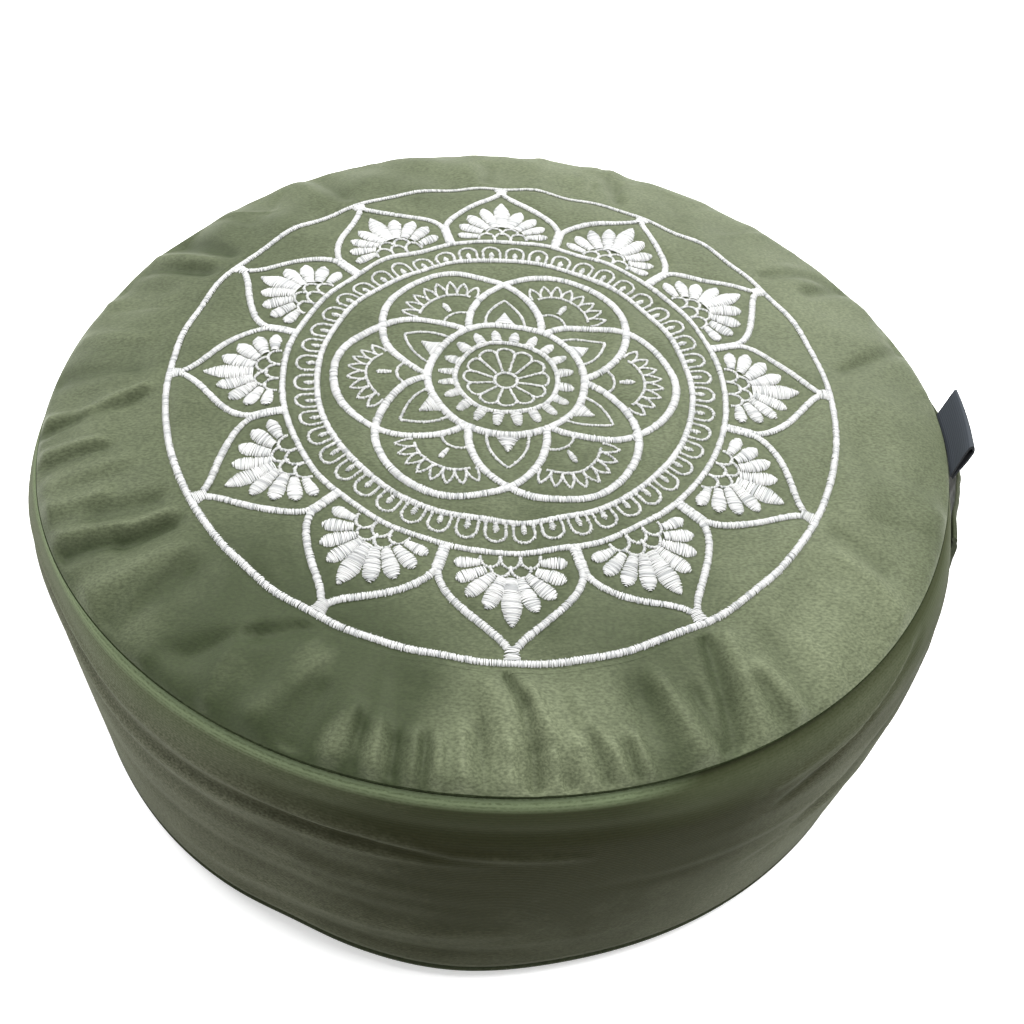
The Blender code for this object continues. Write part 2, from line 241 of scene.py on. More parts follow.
def base_radius(azimuth):
    """Radius of the base seam's line."""
    return BASE_RADIUS + waves(azimuth, BASE_WAVES) + pulls(azimuth, BASE_PULLS)


def random_fold():
    """A soft fold that runs nearly straight out to the seam."""
    at = chance.uniform(-180.0, 180.0)
    start, end = chance.uniform(0.145, 0.162), chance.uniform(0.172, 0.192)
    half_width, height = chance.uniform(0.0022, 0.0050), chance.uniform(0.0003, 0.0008)
    return at, start, at + chance.normal(0.0, 3.0), end, half_width, height * chance.choice((-1, 1))


small_folds = [random_fold() for _ in range(SMALL_FOLDS)]
# Heading, length and phase of each swell.
swells = [
    (chance.uniform(0.0, 180.0), chance.uniform(0.022, 0.050), chance.uniform(0.0, 6.3))
    for _ in range(SWELLS)
]


def swell_height(azimuth, radius):
    """Low random swells, from the filling under the cloth."""
    total = np.zeros_like(radius)
    for heading, length, phase in swells:
        along = radius * np.cos(np.radians(azimuth - heading))
        total += SWELL_STEEPNESS * length * np.sin(2.0 * math.pi * along / length + phase)
    return total


def fold_height(azimuth, radius, table):
    """How far folds raise or sink the top panel."""
    total = np.zeros_like(radius)
    for azimuth_in, radius_in, azimuth_out, radius_out, half_width, height in table:
        along = (radius - radius_in) / (radius_out - radius_in)
        line = part_way(azimuth_in, azimuth_out, along)
        aside = np.radians(turn(azimuth, line)) * radius
        spread = np.maximum(half_width * (0.7 + 0.5 * along), MM)
        total += height * bump(aside, spread) * ease(along / 0.25) * ease((1.25 - along) / 0.3)
    return total


def pucker_height(azimuth, radius, edge):
    """Short ridges and dents where the seam gathers the top panel."""
    inwards = edge - radius
    total = np.zeros_like(radius)
    for at, half_width, height, reach in PUCKERS:
        total += height * bump(turn(azimuth, at), half_width) * (1.0 - ease(inwards / reach))
    for number, (lobes, size) in enumerate(SEAM_RIPPLES):
        ripple = size * MM * np.cos(np.radians(lobes * azimuth + 80.0 * number))
        total += ripple * (1.0 - ease(inwards / RIPPLE_REACH))
    return total


def top_height(azimuth, radius):
    """Height of the top panel's upper face."""
    edge = seam_radius(azimuth) + LIP
    share = np.clip(radius / edge, 0.0, 1.0)
    crown = CROWN_RISE * (1.0 - share**CROWN_FLATNESS) ** CROWN_SHOULDER
    folded = fold_height(azimuth, radius, FOLDS) + fold_height(azimuth, radius, small_folds)
    folded = (folded + swell_height(azimuth, radius)) * ease((1.0 - share) / 0.022)
    puckered = pucker_height(azimuth, radius, edge) * ease((1.0 - share) / 0.012)
    return SEAM_HEIGHT + SEAM_HALF_WIDTH + crown + folded + puckered


def random_wrinkle():
    """A soft wrinkle that lies nearly level along the side band."""
    at, height = chance.uniform(0.0, 360.0), chance.uniform(0.03, 0.125)
    length, slope = chance.uniform(18.0, 52.0), chance.normal(0.0, 0.005)
    half_width, size = chance.uniform(0.0018, 0.0042), chance.uniform(0.00015, 0.0005)
    return at, height, at + length, height + slope, half_width, size * chance.choice((-1, 1))


small_wrinkles = [random_wrinkle() for _ in range(FINE_WRINKLES)]


def wrinkle_height(azimuth, height, table):
    """How far wrinkles push the side band out or draw it in."""
    total = 0.0 * (azimuth + height)
    for azimuth_a, height_a, azimuth_b, height_b, half_width, size in table:
        along = np.clip(turn(azimuth, azimuth_a) / (azimuth_b - azimuth_a), 0.0, 1.0)
        line = part_way(height_a, height_b, along)
        total = total + size * bump(height - line, half_width) * np.sin(math.pi * along) ** 0.6
    return total


BAND_TOP = SEAM_HEIGHT - SEAM_HALF_WIDTH
BAND_FOOT = BASE_SEAM_HEIGHT + SEAM_HALF_WIDTH


def band_radius(azimuth, height, fine=1.0):
    """Radius of the side band's outer face at a height."""
    down = np.clip((BAND_TOP - height) / (BAND_TOP - BAND_FOOT), 0.0, 1.0)
    straight = (1.0 - down) * seam_radius(azimuth) + down * base_radius(azimuth)
    bulge = BULGE + waves(azimuth, BULGE_WAVES) + pulls(azimuth, BULGE_PULLS)
    wrinkled = wrinkle_height(azimuth, height, WRINKLES)
    wrinkled = wrinkled + fine * wrinkle_height(azimuth, height, small_wrinkles) * ease(down / 0.1)
    return straight + bulge * np.sin(math.pi * down**BULGE_RISE) + wrinkled


def round_points(azimuth, radius, height):
    """Points from azimuths in degrees, radii and heights."""
    angle = np.radians(azimuth)
    return np.stack(np.broadcast_arrays(radius * np.cos(angle), radius * np.sin(angle), height), axis=-1)


rings = []  # each ring of points, with the number of the panel whose cloth leads up to it


def add_ring(panel, count, radius_at, height_at):
    """A closed ring of the cover. radius_at takes the azimuths, height_at those and the radii."""
    azimuth = np.arange(count) * 360.0 / count
    radius = radius_at(azimuth) * np.ones(count)
    rings.append((panel, round_points(azimuth, radius, height_at(azimuth, radius))))


for first, last, coarser in ((2.0, 44.0, 8), (44.0, 90.0, 4), (90.0, 146.5, 2)):
    for out in np.arange(first, last, RING_STEP) * MM:
        add_ring(TOP, COLUMNS // coarser, lambda _: out, top_height)
for left in (1.0 - np.arange(PLAIN_RINGS) / PLAIN_RINGS) ** 1.6:
    inwards = left * (SEAM_RADIUS - PLAIN_EDGE)
    panel = TOP if left > 0.006 else SEAM
    add_ring(panel, COLUMNS, lambda azimuth: seam_radius(azimuth) + LIP - inwards, top_height)

# The rolled lip, the channel that the seam draws in, and the band's own rolled start.
for out, up in ((0.0, 1.4), (-0.9, 0.9), (-1.9, 0.5), (-2.8, 0.0), (-1.9, -0.5), (-0.8, -1.0)):
    height = SEAM_HEIGHT + up * MM
    add_ring(SEAM, COLUMNS, lambda azimuth: seam_radius(azimuth) + out * MM, lambda *_: height)

for height in np.concatenate([np.linspace(BAND_TOP, 0.104, 25), np.linspace(0.1015, 0.091, 5)]):
    add_ring(SIDE, COLUMNS, lambda azimuth: band_radius(azimuth, height), lambda *_: height)
for height in np.linspace(0.0882, BAND_FOOT, 28):
    add_ring(SIDE, COLUMNS // 2, lambda azimuth: band_radius(azimuth, height), lambda *_: height)

# The base seam's channel and the underside, which rests flat on the floor.
channel = [(2.6, 12.0), (0.0, 10.4), (0.3, 8.4), (1.1, 5.9), (2.8, 3.4), (5.4, 1.6), (8.6, 0.5)]
underside = [(12.5, 0.0), (60.0, 0.0), (120.0, 0.0)]
for inwards, height in np.array(channel + underside) * MM:
    add_ring(BASE, COLUMNS // 2, lambda azimuth: base_radius(azimuth) - inwards, lambda *_: height)


def join_rings(inner, outer):
    """Faces between two rings, given as arrays of point numbers; one may have twice as many."""
    if len(inner) == len(outer):
        return np.stack([inner, outer, np.roll(outer, -1), np.roll(inner, -1)], axis=-1).tolist()
    few, many = (inner, outer) if len(inner) < len(outer) else (outer, inner)
    end, first, middle, last = np.roll(few, -1), many[::2], many[1::2], np.roll(many[::2], -1)
    threes = ((few, first, middle), (few, middle, end), (middle, last, end))
    faces = np.concatenate([np.stack(corners, axis=-1) for corners in threes])
    return (faces if few is inner else faces[:, ::-1]).tolist()


cover_points = np.concatenate([points for _, points in rings] + [[(0.0, 0.0, 0.0)] * 2])
cover_points[-2, 2] = top_height(np.zeros(1), np.zeros(1))[0]
numbers = np.split(np.arange(len(cover_points)), np.cumsum([len(points) for _, points in rings]))
cover_faces, panel_of_face = [], []
for (panel, _), inner, outer in zip(rings[1:], numbers, numbers[1:]):
    made = join_rings(inner, outer)
    cover_faces += made
    panel_of_face += [panel] * len(made)
top_pole, base_pole = numbers[-1]
for ring, middle, panel in ((numbers[0], top_pole, TOP), (numbers[-2][::-1], base_pole, BASE)):
    cover_faces += [(int(middle), int(start), int(end)) for start, end in zip(ring, np.roll(ring, -1))]
    panel_of_face += [panel] * len(ring)


class Wire:
    """A socket among a material's nodes, so that shader maths reads as Python."""

    def __init__(self, finish, socket):
        self.finish = finish
        self.socket = socket

    def maths(self, operation, *others):
        values = dict(enumerate((self, *others)))
        return self.finish.node("ShaderNodeMath", {"operation": operation}, values)

    def __add__(self, other):
        return self.maths("ADD", other)

    def __sub__(self, other):
        return self.maths("SUBTRACT", other)

    def __mul__(self, other):
        return self.maths("MULTIPLY", other)

    def __rsub__(self, other):
        return (self * -1.0) + other

    __radd__ = __add__
    __rmul__ = __mul__


class Finish:
    """A material's nodes. The shader is there from the start, and node() adds every other node."""

    def __init__(self, name):
        self.material = bpy.data.materials.new(name)
        self.material.use_nodes = True
        self.shader = self.material.node_tree.nodes["Principled BSDF"]

    def put(self, socket, value):
        if isinstance(value, Wire):
            self.material.node_tree.links.new(value.socket, socket)
        elif socket.type == "RGBA":
            socket.default_value = (*value, 1.0)
        else:
            socket.default_value = value

    def node(self, kind, settings=None, sockets=None, output=0):
        """Adds a node: its settings first, then a value or a wire for each socket by name or number."""
        made = self.material.node_tree.nodes.new(kind)
        for name, value in (settings or {}).items():
            setattr(made, name, value)
        for name, value in (sockets or {}).items():
            self.put(made.inputs[name], value)
        return Wire(self, made.outputs[output])

    def place(self):
        """Where a point lies on the piece, in metres."""
        return self.node("ShaderNodeTexCoord", output=3)

    def noise(self, place, scale, detail=2.0):
        """Soft noise from 0 to 1, with so many lumps to the metre."""
        return self.node("ShaderNodeTexNoise", {}, {"Vector": place, "Scale": scale, "Detail": detail})

    def spread(self, value, low, high):
        """0 up to a low value, 1 from a high one."""
        return self.node("ShaderNodeMapRange", {}, {"Value": value, "From Min": low, "From Max": high})

    def mix(self, share, first, second):
        """A colour between two colours."""
        return self.node("ShaderNodeMix", {"data_type": "RGBA"}, {0: share, 6: first, 7: second}, 2)

    def vector(self, operation, first, second, output=0):
        """Vector maths. A number, such as a distance, comes from output 1."""
        return self.node("ShaderNodeVectorMath", {"operation": operation}, {0: first, 1: second}, output)

    def axis(self, place, number):
        """One coordinate of a place."""
        return self.node("ShaderNodeSeparateXYZ", {}, {"Vector": place}, number)

    def relief(self, height, depth, strength=1.0):
        sockets = {"Height": height, "Distance": depth, "Strength": strength}
        return self.node("ShaderNodeBump", {}, sockets)

    def surface(self, **values):
        """Sets or links the shader's own sockets; an underscore stands for a space."""
        for name, value in values.items():
            self.put(self.shader.inputs[name.replace("_", " ")], value)
        return self.material


# Painted highlight where the band rolls over to the top seam and faces up, most of all on the front and
# left; painted shade just under the seam further right.
ROLL_HIGHLIGHT = (0.086, 0.104, 0.054)
LIP_HIGHLIGHT = (0.195, 0.245, 0.138)
ROLLED_EDGE_DEEP = (0.026, 0.036, 0.012)
ROLL_HEIGHTS = (0.116, 0.141)  # between these heights the band rolls over
LIP_HEIGHTS = (0.1368, 0.1412)  # and here the lip's painted highlight is palest of all,
LIP_ENDS = (0.068, 0.038)  # but it fades out to the right between these, where painted shade takes its place
LEFT_HIGHLIGHT = (-0.04, -0.13)  # the roll's painted highlight is stronger on the left, from the first to the second
TUFTS = 1250.0  # to the metre
PATCHES = ((13.0, 4.0, 0.30), (48.0, 3.0, 0.16), (300.0, 4.0, 0.10))  # lumps to the metre, detail, amount
FOLD_LIGHT_AND_SHADE = 0.045  # painted highlight on fold ridges, painted shade in hollows: how much paler for each millimetre that a fold is raised
# Painted highlight and shade marks on the pile: the place, the radius, how much darker or paler.
TOP_LIGHT_AND_SHADE_MARKS = (
    (-0.090, -0.150, 0.158, 0.075, -0.22),
    (-0.060, -0.170, 0.152, 0.011, 0.17),
    (-0.046, -0.175, 0.152, 0.011, 0.17),
    (-0.068, -0.145, 0.157, 0.013, 0.12),
    (-0.095, -0.145, 0.154, 0.012, 0.10),
    (-0.136, -0.124, 0.151, 0.014, 0.10),
    (0.045, -0.115, 0.158, 0.075, -0.08),
    (0.010, -0.178, 0.158, 0.050, 0.30),
    (0.130, -0.130, 0.158, 0.075, 0.17),
    (-0.172, -0.045, 0.158, 0.050, 0.03),
    (-0.130, 0.110, 0.158, 0.060, -0.05),
    (-0.040, 0.165, 0.158, 0.050, -0.03),
)
# Painted highlight and shade marks on the side band, likewise.
SIDE_LIGHT_AND_SHADE_MARKS = (
    (0.020, -0.210, 0.110, 0.135, -0.27),
    (0.165, -0.103, 0.139, 0.020, -0.20),
    (-0.185, -0.070, 0.085, 0.130, 0.12),
    (0.125, -0.160, 0.050, 0.080, 0.13),
    (0.195, -0.060, 0.115, 0.080, -0.18),
)


def velvet(name, deep_or_shaded, brushed_or_lit, gloss, fuzz, lit_toward=(0.0, 0.0, 0.0), marks=(), rows=0.0, matt=0.54):
    """Short-pile velvet, mixed from a dark colour and a pale one; the pile shines softly. Painted light:
    paler toward the lit side and on raised folds, darker in sunk ones, painted highlight and shade marks,
    and with rows, a painted highlight on the band's roll and lip and painted shade under the seam. Random
    patches vary it too. Its tufts, and its rows where they show, are fine grain."""
    finish = Finish(name)
    place = finish.place()
    # Painted light: the colour is paler toward the side that the lamps light.
    toward = finish.vector("DOT_PRODUCT", place, lit_toward, 1)
    combed = finish.vector("MULTIPLY", place, (0.5, 1.0, 1.0))
    tufts = finish.noise(combed, TUFTS, 3.0)
    # Painted highlight on raised folds and wrinkles, painted shade in sunk ones.
    folds = finish.node("ShaderNodeAttribute", {"attribute_name": "fold"}, output=2)
    pale = toward + folds * FOLD_LIGHT_AND_SHADE
    for lumps, detail, amount in PATCHES:
        pale = pale + finish.noise(place, lumps, detail) * amount
    # Painted highlight and shade marks: paler or darker round a place.
    for x, y, z, radius, amount in marks:
        away = finish.vector("DISTANCE", place, (x, y, z), 1)
        pale = pale + (1.0 - finish.spread(away, 0.3 * radius, radius)) * amount
    colour = finish.mix(finish.spread(pale, 0.06, 0.52), deep_or_shaded, brushed_or_lit)
    colour = finish.mix(finish.spread(tufts, 0.34, 0.66) * 0.56, colour, [0.4 * part for part in deep_or_shaded])
    grain = tufts
    if rows:
        aside, height = finish.axis(place, 0), finish.axis(place, 2)
        # On the band: a painted highlight on the roll, brightest on its lip and stronger on the left;
        # painted shade just under the seam on the right.
        lip_lit = finish.spread(aside, *LIP_ENDS)
        rolled = finish.spread(height, *ROLL_HEIGHTS)
        edge = finish.spread(height, *LIP_HEIGHTS)
        left = finish.spread(aside, *LEFT_HIGHLIGHT)
        colour = finish.mix(rolled * (0.52 - lip_lit * 0.36 + left * 0.60), colour, ROLL_HIGHLIGHT)
        colour = finish.mix(edge * (1.0 - lip_lit) * 0.45, colour, deep_or_shaded)
        colour = finish.mix(edge * lip_lit, colour, LIP_HIGHLIGHT)
        wavy = finish.node(
            "ShaderNodeTexWave",
            {"wave_type": "BANDS", "bands_direction": "Z"},
            {"Vector": place, "Scale": rows, "Distortion": 1.4, "Detail": 3.0, "Detail Scale": 3.0},
            1,
        )
        broken = wavy * finish.spread(tufts, 0.34, 0.60)
        colour = finish.mix(broken * (0.12 + rolled * 0.36), colour, ROLLED_EDGE_DEEP)
        grain = grain + wavy * 0.4
    return finish.surface(
        Base_Color=colour,
        Roughness=matt,
        Specular_IOR_Level=gloss,
        Specular_Tint=(0.93, 1.0, 0.72),
        Sheen_Weight=fuzz,
        Sheen_Roughness=0.45,
        Sheen_Tint=(0.84, 0.92, 0.66),
        Normal=finish.relief(grain, 0.24 * MM, 0.4),
    )


def add_piece(name, points, faces, materials, panels=None):
    """A named piece of the object from points and faces, shaded smooth, riding on the part."""
    data = bpy.data.meshes.new(name)
    data.from_pydata(points, [], faces)
    for made_of in materials:
        data.materials.append(made_of)
    if panels is not None:
        data.polygons.foreach_set("material_index", panels)
    data.shade_smooth()
    made = bpy.data.objects.new(name, data)
    bpy.context.scene.collection.objects.link(made)
    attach(made, "root")
    return made


# Painted light on the top and the band: paler toward the lamps, with painted highlight and shade marks.
top_look = {"lit_toward": (0.30, 0.45, 0.0), "marks": TOP_LIGHT_AND_SHADE_MARKS, "matt": 0.64}
side_look = {"lit_toward": (-0.5, 0.0, 0.0), "marks": SIDE_LIGHT_AND_SHADE_MARKS, "rows": 240.0, "matt": 0.8}
# The band and the base are the top's velvet in darker colours, as painted shade.
panels = [
    velvet("velvet_top", (0.021, 0.031, 0.011), (0.136, 0.156, 0.092), 0.40, 0.12, **top_look),
    velvet("velvet_side", (0.015, 0.015, 0.005), (0.104, 0.108, 0.073), 0.05, 0.06, **side_look),
    velvet("velvet_base", (0.020, 0.025, 0.012), (0.044, 0.052, 0.029), 0.1, 0.04, matt=0.8),
    # Painted shade: the seams' channels and the lip are painted dark.
    velvet("velvet_seam_shade", (0.014, 0.019, 0.008), (0.042, 0.053, 0.026), 0.0, 0.0, matt=0.95),
]
cover = add_piece("velvet_cover", cover_points, cover_faces, panels, panel_of_face)
cover.data.set_sharp_from_angle(angle=math.radians(80.0))
# How far the folds and wrinkles raise the cloth, in millimetres, for the painted highlight on their
# ridges and painted shade in their hollows.
azimuth = np.degrees(np.arctan2(cover_points[:, 1], cover_points[:, 0]))
raised = fold_height(azimuth, np.hypot(cover_points[:, 0], cover_points[:, 1]), FOLDS)
raised[cover_points[:, 2] < SEAM_HEIGHT] = 0.0
low = cover_points[:, 2] < BAND_TOP
raised[low] = 1.6 * wrinkle_height(azimuth[low], cover_points[low, 2], WRINKLES + tuple(small_wrinkles))
cover.data.attributes.new("fold", "FLOAT", "POINT").data.foreach_set("value", raised / MM)
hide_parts("cushion")

# ---- The stitched ring and the twelve petals ---------------------------------------------------------
# Satin stitch in off-white thread: each stitch is one thread laid across the line, close beside the
# next. A ring frames the panel, and twelve pointed petals stand between it and the inner band.
THREAD = 0.52 * MM  # thickness of a thread
THREAD_WHITE = (0.65, 0.65, 0.64)
THREAD_GREY = (0.37, 0.38, 0.38)
# How unevenly the threads lie: the share that starts a new bunch, the share painted grey as painted
# shade, and how far a bunch leans, a thread slips along the line, slants, sinks and overshoots its end.
NEW_BUNCH = 0.30
SHADED_THREADS = 0.18
BUNCH_LEAN = 0.055 * MM
SLIP = 0.03 * MM
SLANT = 0.08 * MM
SINK = 0.04 * MM
OVERSHOOT = 0.12 * MM
ZIGZAG = 0.08 * MM  # how far every second thread is shifted across the line
RING_RADIUS = 142.0 * MM
RING_WIDTH = 2.8 * MM
PETALS = 12
PETAL_FOOT = 95.0 * MM
PETAL_FORK = 103.5 * MM
PETAL_NECK = 136.0 * MM  # where a petal's two lines end in one
PETAL_TIP = 140.5 * MM
PETAL_WIDTH = 2.9 * MM

sewn_lines = []  # middle points and half-widths of every run of stitches


def on_circle(azimuth, radius):
    """Points in the plan, from azimuths in degrees and radii."""
    return round_points(azimuth, radius, 0.0)[..., :2]


def beside(azimuth, foot, turned, out):
    """Points in the plan at a distance from a foot on a middle line, along a direction turned from it."""
    start = on_circle(azimuth, foot)
    return start + on_circle(azimuth + turned, out)


def distances(line):
    """How far along a line each of its points lies."""
    steps = np.linalg.norm(np.diff(line, axis=0), axis=1)
    return np.concatenate([[0.0], np.cumsum(steps)])


def walk(line, pitch):
    """Places a pitch apart along a line, with its direction and the share of its length at each."""
    along = distances(line)
    count = max(int(along[-1] / pitch), 2)
    where = (np.arange(count) + 0.5) * along[-1] / count

    def at(distance):
        return np.stack([np.interp(distance, along, line[:, axis]) for axis in (0, 1)], axis=-1)

    ahead = at(where + 0.3 * MM) - at(where - 0.3 * MM)
    ahead /= np.maximum(np.linalg.norm(ahead, axis=1, keepdims=True), 1e-9)
    return at(where), ahead, where / along[-1]


def satin(line, width, raised=0.48 * MM, spans=4):
    """Threads laid across a line of the plan; width is a number, or a function of the share along it.
    Gives the points, the shade at each point, and the faces."""
    places, ahead, share = walk(line, 1.06 * THREAD)
    count = len(places)
    widths = width(share) if callable(width) else np.full(count, width)
    sewn_lines.append((places, 0.5 * widths))
    # Threads bunch together, which leaves thin darker gaps between the bunches.
    bunch = np.cumsum(chance.random(count) < NEW_BUNCH)
    lean = chance.normal(0.0, BUNCH_LEAN, bunch[-1] + 1)[bunch]
    slip = lean + chance.normal(0.0, SLIP, count)
    slant = chance.normal(0.0, SLANT, count)
    level = np.abs(chance.normal(0.0, SINK, count)) + 0.4 * np.abs(lean)
    # A share of threads is painted grey, as painted shade; the others vary in tone at random.
    shade = np.where(chance.random(count) < SHADED_THREADS, 0.0, chance.uniform(0.55, 1.0, count))
    side = np.linspace(-1.0, 1.0, spans + 1)
    ends = 0.5 * widths[:, None] + chance.normal(0.0, OVERSHOOT, (count, 2))
    ends += ZIGZAG * np.where(np.arange(count) % 2, 1.0, -1.0)[:, None] * (1.0, -1.0)
    reach = np.where(side < 0, ends[:, :1], ends[:, 1:]) * side
    across = np.stack([-ahead[:, 1], ahead[:, 0]], axis=-1)
    middle = places[:, None] + across[:, None] * reach[..., None]
    middle += ahead[:, None] * (slip[:, None] + slant[:, None] * side)[..., None]
    arch = 1.0 - 0.80 * np.abs(side) ** 4.5
    high = raised * np.clip(widths / (2.0 * MM), 0.7, 1.1)[:, None] * arch - level[:, None]
    high -= 0.30 * MM * (np.abs(side) > 0.99)
    half = 0.47 * THREAD * (1.0 - 0.35 * np.abs(side) ** 3)
    rows = []
    for aside, drop in ((-1.0, 0.55), (-0.4, 0.05), (0.4, 0.05), (1.0, 0.55)):
        flat = middle + ahead[:, None] * (aside * half)[None, :, None]
        rows.append(np.concatenate([flat, (high - drop * THREAD)[..., None]], axis=-1))
    made = np.stack(rows, axis=2)  # stitch, station across the line, row along the thread, xyz
    azimuth = np.degrees(np.arctan2(made[..., 1], made[..., 0]))
    made[..., 2] += top_height(azimuth, np.hypot(made[..., 0], made[..., 1]))
    number = np.arange(made[..., 0].size).reshape(made.shape[:3])
    corners = (number[:, :-1, :-1], number[:, 1:, :-1], number[:, 1:, 1:], number[:, :-1, 1:])
    faces = np.stack(corners, axis=-1).reshape(-1, 4)
    return made.reshape(-1, 3), np.repeat(shade, number[0].size), faces


def thread_finish():
    """Twisted thread with a slight gloss, off-white; threads with a low shade are painted grey, as
    painted shade.
    """
    finish = Finish("embroidery_thread")
    shade = finish.node("ShaderNodeAttribute", {"attribute_name": "shade"}, output=2)
    fuzz = finish.noise(finish.place(), 2600.0, 3.0)
    colour = finish.mix(shade, THREAD_GREY, THREAD_WHITE)
    return finish.surface(
        Base_Color=finish.mix(fuzz * 0.28, colour, THREAD_GREY),
        Roughness=0.42,
        Sheen_Weight=0.25,
        Sheen_Roughness=0.4,
        Normal=finish.relief(fuzz, 0.1 * MM, 0.35),
    )


thread = thread_finish()


def sew(name, runs):
    """One piece from many runs of satin stitch."""
    start, faces = 0, []
    for points, _, quads in runs:
        faces.append(quads + start)
        start += len(points)
    points = np.concatenate([run[0] for run in runs])
    made = add_piece(name, points, np.concatenate(faces).tolist(), [thread])
    marks = made.data.attributes.new("shade", "FLOAT", "POINT")
    marks.data.foreach_set("value", np.concatenate([run[1] for run in runs]))
    return made


all_round = np.linspace(0.0, 360.0, 721)


def ring_width(share):
    """The ring's width by the share of the way round: the pile closes over its far side a little."""
    return RING_WIDTH * (1.0 - 0.40 * np.exp(-(((share * 360.0 - 85.0) / 34.0) ** 2)))


sew("ring_stitching", [satin(on_circle(all_round, RING_RADIUS), ring_width, 0.52 * MM)])


def neck_width(share):
    """The neck of a petal widens towards the ring."""
    return (4.9 + 1.9 * share**2) * MM


petals = []
radius = np.linspace(PETAL_FOOT, PETAL_NECK, 80)
along = np.clip((radius - PETAL_FORK) / (PETAL_TIP - PETAL_FORK), 0.0, 1.0)
swing = radius * math.pi / PETALS * (0.5 + 0.5 * np.cos(math.pi * along**1.1))
# Two lines lie side by side at a petal's foot and again near its tip, where one filled neck joins them.
swing = np.clip(swing, 1.2 * MM, radius * math.pi / PETALS - 0.75 * MM)
for petal in range(PETALS):
    for hand in (-1.0, 1.0):
        side = on_circle(petal * 360.0 / PETALS + hand * np.degrees(swing / radius), radius)
        petals.append(satin(side, PETAL_WIDTH))
    neck = on_circle(petal * 360.0 / PETALS, np.linspace(PETAL_NECK - 0.6 * MM, PETAL_TIP + 0.4 * MM, 8))
    petals.append(satin(neck, neck_width, 0.50 * MM))
sew("petal_stitching", petals)

# ---- The palmettes in the petals ---------------------------------------------------------------------
# In each petal a fan of nine filled leaves stands on two rows of fine scales, in the same thread.
FAN_FOOT = 97.5 * MM
# How far a leaf leans from the petal's middle line, where it starts and ends, and its width.
LEAVES = (
    (0.0, 9.4, 30.4, 8.0),
    (20.5, 9.8, 25.4, 6.5),
    (42.0, 10.4, 24.2, 6.3),
    (63.0, 10.8, 23.0, 6.0),
    (84.0, 11.6, 21.6, 5.2),
)
# Sideways place and distance from the fan's foot of each scale, half its width and its depth.
SCALES = (
    (-7.6, -1.6, 3.8, 5.6),
    (0.0, -1.6, 3.8, 6.0),
    (7.6, -1.6, 3.8, 5.6),
    (-3.8, 3.2, 3.9, 5.4),
    (3.8, 3.2, 3.9, 5.4),
)
FINE_WIDTH = 1.2 * MM


def leaf_shape(widest, bluntness):
    """Width along a leaf that opens from its narrow foot; a high bluntness gives it a round tip."""

    def width(share):
        opening = 0.58 + 0.42 * np.clip(share / 0.55, 0.0, 1.0)
        tip = (1.0 - np.clip((share - 0.62) / 0.38, 0.0, 1.0) ** bluntness) ** 0.7
        return widest * MM * opening * np.clip(tip, 0.08, 1.0)

    return width


palmettes = []
for petal in range(PETALS):
    middle = petal * 360.0 / PETALS
    for lean, start, end, widest in LEAVES:
        out = np.linspace(start, end, 24) * MM
        shape = leaf_shape(widest, 2.8 if lean else 1.3)
        for hand in (-1.0, 1.0) if lean else (1.0,):
            bend = lean + 3.0 * np.linspace(-0.5, 0.5, 24) * (lean > 0.0)
            palmettes.append(satin(beside(middle, FAN_FOOT, hand * bend, out), shape, 0.42 * MM))
    for aside, forward, half_width, depth in SCALES:
        sweep = np.radians(np.linspace(-90.0, 90.0, 25))
        ahead = FAN_FOOT + (forward + depth * np.cos(sweep) ** 0.85) * MM
        across = on_circle(middle + 90.0, (aside + half_width * np.sin(sweep)) * MM)
        palmettes.append(satin(on_circle(middle, ahead) + across, FINE_WIDTH, 0.5 * MM, 2))
sew("palmette_stitching", palmettes)

# ---- The double band ---------------------------------------------------------------------------------
# Two satin rings with a row of fine round-headed arches between them, and a small bead under each.
BAND_OUTER = 94.4 * MM
BAND_INNER = 80.0 * MM
BAND_WIDTH = 2.5 * MM
ARCHES = 48
ARCH_SPREAD = 2.75  # half an arch, in degrees

band = [satin(on_circle(all_round, radius), BAND_WIDTH) for radius in (BAND_OUTER, BAND_INNER)]
for arch in range(ARCHES):
    middle = (arch + 0.5) * 360.0 / ARCHES
    leg = np.linspace(BAND_INNER + 0.8 * MM, BAND_INNER + 5.4 * MM, 10)
    head = np.radians(np.linspace(0.0, 180.0, 16))
    turned = np.concatenate([np.full(10, 1.0), np.cos(head), np.full(10, -1.0)])
    radius = np.concatenate([leg, leg[-1] + 4.0 * MM * np.sin(head), leg[::-1]])
    band.append(satin(on_circle(middle + ARCH_SPREAD * turned, radius), FINE_WIDTH, 0.5 * MM, 2))
    bead = np.linspace(BAND_INNER + 0.8 * MM, BAND_INNER + 5.6 * MM, 8)
    band.append(satin(on_circle(middle, bead), leaf_shape(2.4, 1.6), 0.45 * MM, 2))
sew("band_stitching", band)

# ---- The rosette -------------------------------------------------------------------------------------
# Six interlaced rings stand round the hub. Nested points and a filled drop lie where two rings cross,
# and a crown of small pointed teeth fills each ring's outer part.
ROSETTE_RINGS = 6
ROSETTE_OFFSET = 38.0 * MM
ROSETTE_RADIUS = 35.2 * MM
ROSETTE_WIDTH = 3.3 * MM
HUB_RADIUS = 33.6 * MM
CROWN_FOOT = 43.0 * MM
CROWN_RADIUS = 16.6 * MM
TEETH = 8
TOOTH_SPREAD = 15.0


def drop_width(share):
    """A filled drop narrows from the hub to its point."""
    return 9.4 * MM * (1.0 - 0.93 * share)


